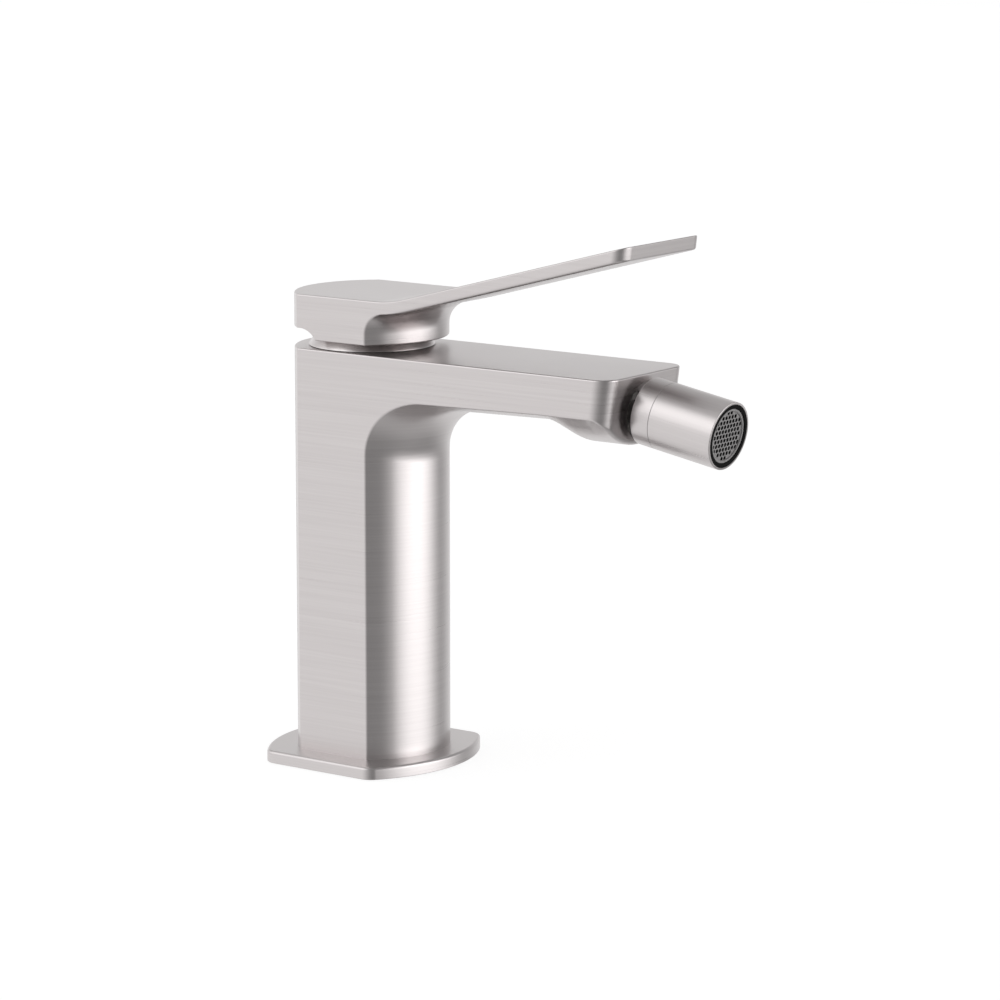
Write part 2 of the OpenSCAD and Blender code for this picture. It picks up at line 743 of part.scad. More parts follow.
module lever() {
    color(nickel)
    difference() {
        skin(
            [for (x = section_places(half_width, tip_corner_radius, 5)) lever_section(x)],
            lever_end_faces()
        );
        // Hollow over the dome, with the boss that holds the stem
        difference() {
            translate([0, 0, pivot_z]) sphere(r = hub_hollow_radius);
            translate([0, 0, stem_boss_bottom_z]) cylinder(r = stem_boss_radius, h = hub_height + 4);
        }
        // Socket of the stem
        translate([-stem_width / 2 - push_fit, -stem_width / 2 - push_fit, stem_boss_bottom_z - 1])
            cube([stem_width + 2 * push_fit, stem_width + 2 * push_fit, socket_top_z - stem_boss_bottom_z + 1]);
        // Set screw's hole and plug's seat, from the back
        translate([0, 0, screw_z]) rotate([-90, 0, 0]) cylinder(r = screw_radius + push_fit, h = half_depth);
        translate([0, half_depth - plug_depth, screw_z]) rotate([-90, 0, 0])
            cylinder(r = plug_radius + push_fit, h = plug_depth + 1);
    }
}

module grub_screw() {
    color(steel)
    translate([0, stem_width / 2, screw_z]) rotate([-90, 0, 0])
    difference() {
        cylinder(r = screw_radius, h = screw_length);
        translate([0, 0, screw_length - 2.5]) cylinder(r = 1.15, h = 3, $fn = 6);
    }
}

module screw_plug() {
    color(nickel)
    translate([0, half_depth - plug_depth, screw_z]) rotate([-90, 0, 0])
        cylinder(r = plug_radius, h = plug_depth - 0.15);
}

module ball_stem() {
    color(steel)
    at_ball()
    difference() {
        union() {
            sphere(r = ball_radius);
            translate([0, 0, -flange_front]) cylinder(r = neck_radius, h = flange_front);
            translate([0, 0, -flange_back]) cylinder(r = stem_flange_radius, h = stem_flange_height);
            translate([0, 0, -stem_end]) cylinder(r = stem_thread_radius, h = stem_thread_length + 0.1);
        }
        translate([0, 0, -stem_end - 1]) cylinder(r = ball_bore_radius, h = stem_end + ball_radius + 2);
    }
}

module stem_seal() {
    color(rubber)
    at_ball() translate([0, 0, -stem_seat])
        ring(stem_flange_radius, stem_thread_radius + push_fit, stem_seal_height);
}

module ball_liner() {
    color(white_plastic)
    at_ball()
    rotate_extrude()
    intersection() {
        difference() {
            circle(r = liner_outer);
            circle(r = liner_inner);
        }
        translate([0, -liner_back]) square([2 * liner_outer, liner_back + liner_front]);
    }
}

module nozzle_collar() {
    color(nickel)
    at_nozzle()
    difference() {
        rotate_extrude()
        polygon([
            [0, -collar_back],
            [nozzle_radius - collar_chamfer, -collar_back],
            [nozzle_radius, -collar_back + collar_chamfer],
            [nozzle_radius, collar_front - edge_chamfer],
            [nozzle_radius - edge_chamfer, collar_front],
            [collar_thread_radius, collar_front],
            [collar_thread_radius, seat_end + 0.5],
            [0, seat_end + 0.5]
        ]);
        sphere(r = socket_radius);
        cylinder(r = socket_radius, h = seat_end + 2);
    }
}

module nozzle_sleeve() {
    color(nickel)
    at_nozzle()
    difference() {
        rotate_extrude()
        polygon([
            [0, collar_front],
            [nozzle_radius - edge_chamfer, collar_front],
            [nozzle_radius, collar_front + edge_chamfer],
            [nozzle_radius, nozzle_length - edge_chamfer],
            [nozzle_radius - edge_chamfer, nozzle_length],
            [0, nozzle_length]
        ]);
        translate([0, 0, collar_front - 1])
            cylinder(r = collar_thread_radius + push_fit, h = shoulder - collar_front + 1);
        cylinder(r = ball_radius - 1.6, h = nozzle_length);
        translate([0, 0, washer_start]) cylinder(r = aerator_radius + push_fit, h = nozzle_length);
    }
}

module ball_seat() {
    color(white_plastic)
    at_nozzle()
    difference() {
        translate([0, 0, seat_start]) ring(socket_radius - push_fit, 3.2, seat_height);
        sphere(r = liner_inner);
    }
}

module seat_seal() {
    color(rubber)
    at_nozzle() translate([0, 0, seat_end]) ring(socket_radius - 0.1, ball_radius - 1.6, seat_seal_height);
}

module aerator_washer() {
    color(rubber)
    at_nozzle() translate([0, 0, washer_start]) ring(aerator_radius - 0.1, ball_radius - 1, washer_height);
}

module aerator_housing() {
    color(black_plastic)
    at_nozzle()
    difference() {
        translate([0, 0, housing_start]) cylinder(r = aerator_radius, h = aerator_length);
        translate([0, 0, core_start]) cylinder(r = aerator_radius - aerator_wall, h = aerator_length);
        for (a = [0 : 60 : 300])
            rotate([0, 0, a]) translate([ball_radius - 3, 0, housing_start - 1]) cylinder(r = 1.2, h = 5);
    }
}

module aerator_core() {
    color(grey_plastic)
    at_nozzle()
    difference() {
        translate([0, 0, core_start]) cylinder(r = core_radius, h = screen_bottom - core_start);
        translate([0, 0, core_start + 1.4]) cylinder(r = core_radius - screen_rim, h = aerator_length);
        for (a = [0 : 30 : 330])
            rotate([0, 0, a]) translate([core_radius - 2.6, 0, core_start - 1]) cylinder(r = 0.6, h = 4);
    }
}

module aerator_screen() {
    mesh_radius = core_radius - screen_rim;
    cell = (cell_pitch - cell_wall) / sqrt(3);
    rows = ceil(mesh_radius / cell_pitch) + 1;
    color(grey_plastic)
    at_nozzle()
    translate([0, 0, screen_bottom])
    difference() {
        cylinder(r = core_radius, h = screen_height);
        translate([0, 0, screen_height - cell_recess]) cylinder(r = mesh_radius, h = screen_height);
        intersection() {
            translate([0, 0, -1]) cylinder(r = mesh_radius - 0.1, h = screen_height + 2);
            for (i = [-rows : rows])
                for (j = [-rows : rows])
                    let (place = cell_pitch * [i + j / 2, j * sqrt(3) / 2])
                    if (norm(place) < mesh_radius - 0.3)
                        translate([place[0], place[1], -1])
                            rotate([0, 0, 30]) cylinder(r = cell, h = screen_height + 2, $fn = 6);
        }
    }
}

body();
base_plate();
base_gasket();
cartridge_base();
port_seals();
cartridge_housing();
housing_seal();
fixed_disc();
moving_disc();
disc_carrier();
rotor();
pivot_pin();
stem();
cartridge_nut();
trim_ring();
lever();
grub_screw();
screw_plug();
ball_stem();
stem_seal();
ball_liner();
nozzle_collar();
nozzle_sleeve();
ball_seat();
seat_seal();
aerator_washer();
aerator_housing();
aerator_core();
aerator_screen();
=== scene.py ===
import math

import bmesh
import bpy
from mathutils import Matrix, Vector


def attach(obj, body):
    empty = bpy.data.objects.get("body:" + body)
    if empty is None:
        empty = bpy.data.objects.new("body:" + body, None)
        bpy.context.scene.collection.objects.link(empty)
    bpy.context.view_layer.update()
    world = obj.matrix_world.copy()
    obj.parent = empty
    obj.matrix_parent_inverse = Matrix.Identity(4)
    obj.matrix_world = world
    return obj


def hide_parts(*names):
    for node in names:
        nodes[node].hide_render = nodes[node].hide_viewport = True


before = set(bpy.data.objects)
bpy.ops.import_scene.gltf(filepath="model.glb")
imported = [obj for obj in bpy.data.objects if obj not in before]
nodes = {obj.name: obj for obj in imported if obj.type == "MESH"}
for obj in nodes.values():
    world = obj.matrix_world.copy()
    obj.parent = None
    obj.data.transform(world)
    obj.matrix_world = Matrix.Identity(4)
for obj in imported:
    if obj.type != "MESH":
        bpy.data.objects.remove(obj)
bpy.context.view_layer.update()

# Sizes in millimetres, the same as in the part's source
HALF_WIDTH = 20.0
BOW_RADIUS = 25.2
HALF_DEPTH = 22.3
BODY_TOP = 124.5
BASE_TOP = 3.7
SPOUT_REACH = 98.3
SPOUT_CORNER = 5.6
EDGE_ROUNDING = 0.45
END_ROUNDING = 1.2
BLADE_ROUNDING = 1.2
END_LEAN = math.tan(math.radians(7.5))
EDGE_ROOT_Z = 111.9
EDGE_END_Z = 113.1
BELLY_SAG = 3.6
BOSS_SAG = 9.3
BOSS_START = 84.1
BLEND_START = 72.6
BEND_LENGTH = 20.9
BEND_HEIGHT = 17.1
PIVOT_Z = 113.5
HUB_BOTTOM = 127.2
HUB_TOP = 140.5
BLADE_ANGLE = math.radians(15)
BLADE_THICKNESS = 3.9
BLADE_BEND_REACH = 21.5
BLADE_BEND_RADIUS = 40.0
UNDER_BEND_RADIUS = 60.0
BLADE_FILLET = 6.3
BLADE_REACH = 103.3
TIP_CORNER = 4.3
TIP_UNDERCUT = 0.5
RELIEF_RADIUS = 7.0
RELIEF_RISE = 3.3
RELIEF_REACH = 11.6
RING_BOTTOM = BODY_TOP + 0.1
RING_RADIUS = 18.8
DOME_RADIUS = math.hypot(RING_RADIUS, RING_BOTTOM - PIVOT_Z)
HOLLOW_RADIUS = DOME_RADIUS + 0.45
SCREW_Z = 136.35
NOZZLE_RADIUS = 9.85
NOZZLE_LENGTH = 21.9
NOZZLE_DIP = math.radians(10)
BALL = Vector((0.0, -103.85, 112.9))
SEAM = 1.0
NOZZLE_AXIS = Vector((0.0, -math.cos(NOZZLE_DIP), -math.sin(NOZZLE_DIP)))
HONEYCOMB_FRONT = 21.2
CUP_RADIUS = math.hypot(NOZZLE_RADIUS, 4.5) + 0.2

# Holes and seats in the column
SPIGOT_RADIUS = 17.5
SPIGOT_TOP = 5.2
RECESS_RADIUS = 15.5
RECESS_TOP = 28.0
INLET_X = 6.5
INLET_Y = -4.0
INLET_RADIUS = 4.5
INLET_TOP = 40.0
CHANNEL_RADIUS = 2.4
STUD_Y = 9.0
STUD_RADIUS = 3.4
STUD_TOP = 44.0
CHAMBER_FLOOR = 94.0
CHAMBER_RADIUS = 13.4
NUT_FLOOR = 119.3
NUT_RADIUS = 14.5
RING_SEAT_FLOOR = 122.2
RING_SEAT_RADIUS = 16.45
CHAMBER_CUT_TOP = 126.0
STEM_HOLE_RADIUS = 5.05
STEM_HOLE_DEPTH = 21.0
FLANGE_RADIUS = 6.25
FLANGE_DEPTH = 1.0
CUP_LAST = 30
CUT_PAST = 1.0

# Holes in the lever
HOLLOW_LOW = 118.0
STEM_BOSS_RADIUS = 6.3
STEM_BOSS_DROP = 6.9
SOCKET_HALF = 3.55
SOCKET_LOW = 127.0
SOCKET_TOP = 138.5
SCREW_RADIUS = 2.0
PLUG_RADIUS = 2.5
PLUG_DEPTH = 2.2
SCREW_CUT_END = 23.0
HOLLOW_EDGE = 18.2
HUB_BACK = 18.0

# Base plate
BASE_HALF_WIDTH = 27.85
BASE_HALF_DEPTH = 29.2
BASE_BOW_RADIUS = 42.7
BASE_CORNER = 5.0
BASE_ROUNDING = 0.9
BASE_CHAMFER = 0.2
SPIGOT_HOLE_RADIUS = 17.55
GROOVE_INNER = 20.45
GROOVE_OUTER = 23.55
GROOVE_DEPTH = 1.5
HOLE_CUT_TOP = 5.0

# Domed ring and the foot that centres it in the body
RING_HOLE = 13.6
RING_WALL = 1.2
FOOT_INNER = 15.2
FOOT_OUTER = 16.4
FOOT_DROP = 2.3
RING_EDGE = 0.25

# Nozzle pieces, measured from the ball's centre
HALF_SEAM = 0.05
SEAM_BREAK = 0.03
COLLAR_BACK = 5.0
COLLAR_FRONT = 7.5
COLLAR_ROUNDING = 0.3
COLLAR_THREAD = 8.6
COLLAR_SOCKET = 7.66
SLEEVE_THREAD = 8.65
SLEEVE_THREAD_END = 8.0
SLEEVE_BORE = 5.4
SLEEVE_FLOOR = 12.5
SLEEVE_MOUTH = 9.2
AERATOR_OUTER = 9.15
AERATOR_INNER = 7.9
AERATOR_HOLE = 5.3
AERATOR_LENGTH = 8.6
AERATOR_FLOOR = 1.6
MOUTH_ROUNDING = 0.2

# Mesh steps and limits
CORNER_STEPS = 12
WIDTH_STEPS = 14
BLADE_STEPS = 10
GROW_FROM = 5
GROW_REACH = 1.5 * EDGE_ROUNDING
BOSS_FLAT = 3.0
TOP_ROUNDING = 0.5
RELIEF_ROUNDING = 0.15
RELIEF_LAST = math.radians(84)
SOFTEN_ANGLE = math.radians(24)
SHARP_ANGLE = math.radians(32)
NEAR = 0.1


# Shape functions, the same as in the part's source
def bow(x):
    """Distance of a bowed face from the middle plane."""
    return math.sqrt(BOW_RADIUS ** 2 - x * x) - (BOW_RADIUS - HALF_DEPTH)


ROOT_REACH = bow(HALF_WIDTH) + BEND_LENGTH


def ease(t):
    """Goes smoothly from 0 to 1 as t does."""
    t = min(1.0, max(0.0, t))
    return (1 - math.cos(math.pi * t)) / 2


def spout_under(x, d):
    """Height of the spout's underside at a distance from the column's axis."""
    share = min(1.0, max(0.0, (d - ROOT_REACH) / (BOSS_START - ROOT_REACH)))
    edge = EDGE_ROOT_Z + (EDGE_END_Z - EDGE_ROOT_Z) * share
    sag = BELLY_SAG + (BOSS_SAG - BELLY_SAG) * ease((d - BLEND_START) / (BOSS_START - BLEND_START))
    radius = (HALF_WIDTH ** 2 + sag * sag) / (2 * sag)
    return edge - (math.sqrt(radius * radius - x * x) - (radius - sag))


TILT = math.tan(BLADE_ANGLE / 2)
BEND_START = BLADE_BEND_REACH - BLADE_BEND_RADIUS * TILT
BEND_END = BEND_START + BLADE_BEND_RADIUS * math.sin(BLADE_ANGLE)
UNDER_START = BLADE_BEND_REACH + BLADE_THICKNESS * TILT - UNDER_BEND_RADIUS * TILT
UNDER_END = UNDER_START + UNDER_BEND_RADIUS * math.sin(BLADE_ANGLE)


def climb(d, radius, start, end):
    """Rise of a blade face that is level, bends and then climbs."""
    if d <= start:
        return 0.0
    if d <= end:
        return radius - math.sqrt(radius ** 2 - (d - start) ** 2)
    return radius * (1 - math.cos(BLADE_ANGLE)) + (d - end) * math.tan(BLADE_ANGLE)


def blade_upper(d):
    """Height of the hub's and blade's upper face."""
    return HUB_TOP + climb(d, BLADE_BEND_RADIUS, BEND_START, BEND_END)


def blade_under(d):
    """Height of the blade's lower face."""
    return HUB_TOP - BLADE_THICKNESS + climb(d, UNDER_BEND_RADIUS, UNDER_START, UNDER_END)


def between(first, last, steps):
    """Evenly spaced values from first to last, both included."""
    return [first + (last - first) * k / steps for k in range(steps + 1)]


# Mesh helpers
class Surface:
    """Collects faces in millimetres and stores each corner point once."""

    def __init__(self):
        self.points = []
        self.places = {}
        self.faces = []

    def point(self, p):
        key = tuple(round(c, 4) for c in p)
        if key not in self.places:
            self.places[key] = len(self.points)
            self.points.append(tuple(p))
        return self.places[key]

    def face(self, corners):
        row = []
        for p in corners:
            i = self.point(p)
            if i not in row:
                row.append(i)
        if len(row) > 2:
            self.faces.append(row)

    def grid(self, rows):
        for a, b in zip(rows, rows[1:]):
            for k in range(len(a) - 1):
                self.face([a[k], a[k + 1], b[k + 1], b[k]])

    def object(self, name):
        mesh = bpy.data.meshes.new(name)
        mesh.from_pydata([[c / 1000 for c in p] for p in self.points], [], self.faces)
        bm = bmesh.new()
        bm.from_mesh(mesh)
        bmesh.ops.recalc_face_normals(bm, faces=bm.faces)
        bm.to_mesh(mesh)
        bm.free()
        made = bpy.data.objects.new(name, mesh)
        bpy.context.scene.collection.objects.link(made)
        return made


def lathe(name, profile, segments=128, place=None):
    """Solid of revolution about z from a closed profile of radius and height."""
    s = Surface()
    turns = [2 * math.pi * k / segments for k in range(segments + 1)]
    ring = list(profile) + [profile[0]]
    for (r0, z0), (r1, z1) in zip(ring, ring[1:]):
        if r0 == 0 and r1 == 0:
            continue
        if abs(z0 - z1) < 1e-9 and min(r0, r1) == 0:
            r = max(r0, r1)
            s.face([(r * math.cos(a), r * math.sin(a), z0) for a in turns[:-1]])
            continue
        for a, b in zip(turns, turns[1:]):
            s.face([
                (r0 * math.cos(a), r0 * math.sin(a), z0),
                (r0 * math.cos(b), r0 * math.sin(b), z0),
                (r1 * math.cos(b), r1 * math.sin(b), z1),
                (r1 * math.cos(a), r1 * math.sin(a), z1),
            ])
    made = s.object(name)
    if place is not None:
        made.data.transform(place)
    return made


def rod(name, radius, low, high, segments, place=None):
    """Plain cylinder about z between two heights."""
    return lathe(name, [(0, low), (radius, low), (radius, high), (0, high)], segments, place)


def box_solid(name, low, high):
    s = Surface()
    x0, y0, z0 = low
    x1, y1, z1 = high
    s.grid([
        [(x0, y0, z0), (x1, y0, z0), (x1, y1, z0), (x0, y1, z0), (x0, y0, z0)],
        [(x0, y0, z1), (x1, y0, z1), (x1, y1, z1), (x0, y1, z1), (x0, y0, z1)],
    ])
    for z in (z0, z1):
        s.face([(x0, y0, z), (x1, y0, z), (x1, y1, z), (x0, y1, z)])
    return s.object(name)


def settle(piece):
    """Applies the modifiers of a piece to its mesh."""
    bpy.context.view_layer.update()
    graph = bpy.context.evaluated_depsgraph_get()
    mesh = bpy.data.meshes.new_from_object(piece.evaluated_get(graph))
    piece.modifiers.clear()
    old = piece.data
    piece.data = mesh
    bpy.data.meshes.remove(old)


def combine(piece, other, operation):
    """Joins another solid to a piece or cuts it out, and removes the other solid."""
    cut = piece.modifiers.new("cut", "BOOLEAN")
    cut.operation = operation
    cut.solver = "EXACT"
    cut.object = other
    settle(piece)
    mesh = other.data
    bpy.data.objects.remove(other)
    bpy.data.meshes.remove(mesh)


def soften(piece, offset_of):
    """Rounds the edges for which offset_of gives an offset in millimetres."""
    bm = bmesh.new()
    bm.from_mesh(piece.data)
    layer = bm.edges.layers.float.new("bevel_weight_edge")
    widest = 0.0
    offsets = {}
    for e in bm.edges:
        if len(e.link_faces) == 2 and e.calc_face_angle(0.0) > SOFTEN_ANGLE:
            a, b = (v.co * 1000 for v in e.verts)
            offsets[e] = offset_of((a + b) / 2)
            widest = max(widest, offsets[e])
    for e, offset in offsets.items():
        e[layer] = offset / widest
    bm.to_mesh(piece.data)
    bm.free()
    bevel = piece.modifiers.new("soften", "BEVEL")
    bevel.limit_method = "WEIGHT"
    bevel.width = widest / 1000
    bevel.segments = 4
    bevel.use_clamp_overlap = False
    bevel.miter_outer = "MITER_SHARP"
    settle(piece)


def shade(piece):
    """Smooth shading in which the large faces keep their own direction."""
    mesh = piece.data
    for p in mesh.polygons:
        p.use_smooth = True
    mesh.set_sharp_from_angle(angle=SHARP_ANGLE)
    weigh = piece.modifiers.new("weigh", "WEIGHTED_NORMAL")
    weigh.mode = "FACE_AREA"
    weigh.weight = 50
    weigh.keep_sharp = True
    settle(piece)


AT_BALL = Matrix.Translation(BALL / 1000) @ Matrix.Rotation(math.pi / 2, 4, "X")
AT_NOZZLE = Matrix.Translation(BALL / 1000) @ Matrix.Rotation(math.pi / 2 + NOZZLE_DIP, 4, "X")


def arc_points(centre, radius, first, last, steps):
    """Points of an arc in a profile, with angles in degrees."""
    found = []
    for a in between(math.radians(first), math.radians(last), steps):
        found.append((centre[0] + radius * math.cos(a), centre[1] + radius * math.sin(a)))
    return found


# Column and spout
def end_point(x, d):
    """Lower point of the spout's leaning end wall below a point of its plan."""
    z = spout_under(x, d)
    return (x, -d + (BODY_TOP - z) * END_LEAN, z)


def end_plan(side):
    """Plan of one end corner, from the flat side to the end face."""
    inner = HALF_WIDTH - SPOUT_CORNER
    plan = []
    for a in between(0, math.pi / 2, CORNER_STEPS):
        x = side * (inner + SPOUT_CORNER * math.cos(a))
        plan.append((x, SPOUT_REACH - SPOUT_CORNER + SPOUT_CORNER * math.sin(a)))
    return plan


def grow_rounding(piece, line):
    """Enlarges an edge's small rounding; line has the edge's points with the radius at each."""
    for v in piece.data.vertices:
        p = v.co * 1000
        centre, radius = min(line, key=lambda item: (item[0] - p).length)
        if (p - centre).length < GROW_REACH:
            v.co = (centre + (p - centre) * radius / EDGE_ROUNDING) / 1000


def spout_end_line():
    """Lower edge of the end wall, whose rounding grows from the corners to the middle."""
    line = []
    for side in (-1, 1):
        for k, (x, d) in enumerate(end_plan(side)):
            share = ease((k - GROW_FROM) / (CORNER_STEPS - GROW_FROM))
            radius = EDGE_ROUNDING + (END_ROUNDING - EDGE_ROUNDING) * share
            line.append((Vector(end_point(x, d)), radius))
    inner = HALF_WIDTH - SPOUT_CORNER
    for x in between(-inner, inner, WIDTH_STEPS)[1:-1]:
        line.append((Vector(end_point(x, SPOUT_REACH)), END_ROUNDING))
    return line


def cut_body(piece):
    """Adds the spigot under the column and cuts the holes for the inner parts."""
    combine(piece, rod("spigot", SPIGOT_RADIUS, 0, SPIGOT_TOP, 96), "UNION")
    combine(piece, rod("recess", RECESS_RADIUS, -CUT_PAST, RECESS_TOP, 96), "DIFFERENCE")
    low = RECESS_TOP - CUT_PAST
    high = CHAMBER_FLOOR + CUT_PAST
    for side in (-1, 1):
        place = Matrix.Translation((side * INLET_X / 1000, INLET_Y / 1000, 0))
        profile = [(0, low), (INLET_RADIUS, low), (INLET_RADIUS, INLET_TOP)]
        profile += [(CHANNEL_RADIUS, INLET_TOP), (CHANNEL_RADIUS, high), (0, high)]
        combine(piece, lathe("inlet", profile, 48, place), "DIFFERENCE")
    place = Matrix.Translation((0, STUD_Y / 1000, 0))
    combine(piece, rod("stud", STUD_RADIUS, low, STUD_TOP, 48, place), "DIFFERENCE")
    chamber = [(0, CHAMBER_FLOOR), (CHAMBER_RADIUS, CHAMBER_FLOOR), (CHAMBER_RADIUS, NUT_FLOOR)]
    chamber += [(NUT_RADIUS, NUT_FLOOR), (NUT_RADIUS, RING_SEAT_FLOOR)]
    chamber += [(RING_SEAT_RADIUS, RING_SEAT_FLOOR), (RING_SEAT_RADIUS, CHAMBER_CUT_TOP)]
    chamber += [(0, CHAMBER_CUT_TOP)]
    combine(piece, lathe("chamber", chamber, 128), "DIFFERENCE")
    seat = -CUP_RADIUS - FLANGE_DEPTH
    cup = [(0, -STEM_HOLE_DEPTH), (STEM_HOLE_RADIUS, -STEM_HOLE_DEPTH)]
    cup += [(STEM_HOLE_RADIUS, seat), (FLANGE_RADIUS, seat)]
    first = -math.degrees(math.acos(FLANGE_RADIUS / CUP_RADIUS))
    cup += arc_points((0, 0), CUP_RADIUS, first, CUP_LAST, 24)
    cup += [(0, CUP_RADIUS * math.sin(math.radians(CUP_LAST)))]
    combine(piece, lathe("cup", cup, 128, AT_BALL), "DIFFERENCE")


def make_body():
    s = Surface()
    inner = HALF_WIDTH - SPOUT_CORNER
    flat_end = SPOUT_REACH - SPOUT_CORNER - BOSS_FLAT
    middle = between(-inner, inner, WIDTH_STEPS)
    between_x = inner + SPOUT_CORNER / 2
    xs = [-HALF_WIDTH, -between_x] + middle + [between_x, HALF_WIDTH]

    def under_rows(x):
        bend_end = bow(x) + BEND_LENGTH
        bend_top = spout_under(x, bend_end)
        distances = [flat_end] + between(BOSS_START, BLEND_START, 20)
        distances += between(BLEND_START, bend_end, 16)[1:]
        row = [(x, -d, spout_under(x, d)) for d in distances]
        for a in between(0, math.pi / 2, 20)[1:]:
            y = -bend_end + BEND_LENGTH * math.sin(a)
            row.append((x, y, bend_top - BEND_HEIGHT * (1 - math.cos(a))))
        row.append((x, -bow(x), BASE_TOP))
        return row

    rows = [under_rows(x) for x in xs]
    s.grid(rows)
    end = [end_point(x, SPOUT_REACH) for x in middle]
    s.grid([[(x, -flat_end, spout_under(x, flat_end)) for x in middle], end])
    tops = {}
    for side in (-1, 1):
        plan = end_plan(side)
        low = [end_point(x, d) for x, d in plan]
        high = [(x, -d, BODY_TOP) for x, d in plan]
        s.grid([low, high])
        seam = [(side * x, -flat_end, spout_under(x, flat_end)) for x in (inner, between_x, HALF_WIDTH)]
        s.face(seam + low[:2])
        for a, b in zip(low[1:], low[2:]):
            s.face([seam[0], a, b])
        tops[side] = high
        row = rows[0] if side < 0 else rows[-1]
        back = bow(HALF_WIDTH)
        x = side * HALF_WIDTH
        side_face = list(row) + [(x, back, BASE_TOP), (x, back, BODY_TOP), high[0], low[0]]
        s.face(side_face)
    s.face([(-inner, -SPOUT_REACH, BODY_TOP), (inner, -SPOUT_REACH, BODY_TOP)] + end[::-1])
    back_low = [(x, bow(x), BASE_TOP) for x in xs]
    back_high = [(x, bow(x), BODY_TOP) for x in xs]
    s.grid([back_low, back_high])
    s.face(back_high + tops[1] + tops[-1][::-1])
    s.face(back_low + [(x, -bow(x), BASE_TOP) for x in xs[::-1]])
    piece = s.object("body_skin")

    def offset_of(p):
        if p.z < BASE_TOP + NEAR:
            return 0.0
        if p.z > BODY_TOP - NEAR:
            return TOP_ROUNDING
        return EDGE_ROUNDING

    soften(piece, offset_of)
    grow_rounding(piece, spout_end_line())
    cut_body(piece)
    shade(piece)
    return piece


# Lever with its hub and blade
def cut_lever(piece):
    """Cuts the hollow over the ring, the stem's socket and the set screw's hole."""
    boss_bottom = PIVOT_Z + DOME_RADIUS - STEM_BOSS_DROP
    boss_angle = math.degrees(math.acos(STEM_BOSS_RADIUS / HOLLOW_RADIUS))
    first = math.degrees(math.asin((HOLLOW_LOW - PIVOT_Z) / HOLLOW_RADIUS))
    hollow = [(0, HOLLOW_LOW)] + arc_points((0, PIVOT_Z), HOLLOW_RADIUS, first, boss_angle, 32)
    hollow += [(STEM_BOSS_RADIUS, boss_bottom), (0, boss_bottom)]
    combine(piece, lathe("hollow", hollow, 128), "DIFFERENCE")
    low = (-SOCKET_HALF, -SOCKET_HALF, SOCKET_LOW)
    high = (SOCKET_HALF, SOCKET_HALF, SOCKET_TOP)
    combine(piece, box_solid("socket", low, high), "DIFFERENCE")
    place = Matrix.Translation((0, 0, SCREW_Z / 1000)) @ Matrix.Rotation(-math.pi / 2, 4, "X")
    plug_seat = HALF_DEPTH - PLUG_DEPTH
    profile = [(0, 0), (SCREW_RADIUS, 0), (SCREW_RADIUS, plug_seat), (PLUG_RADIUS, plug_seat)]
    profile += [(PLUG_RADIUS, SCREW_CUT_END), (0, SCREW_CUT_END)]
    combine(piece, lathe("screw_hole", profile, 48, place), "DIFFERENCE")


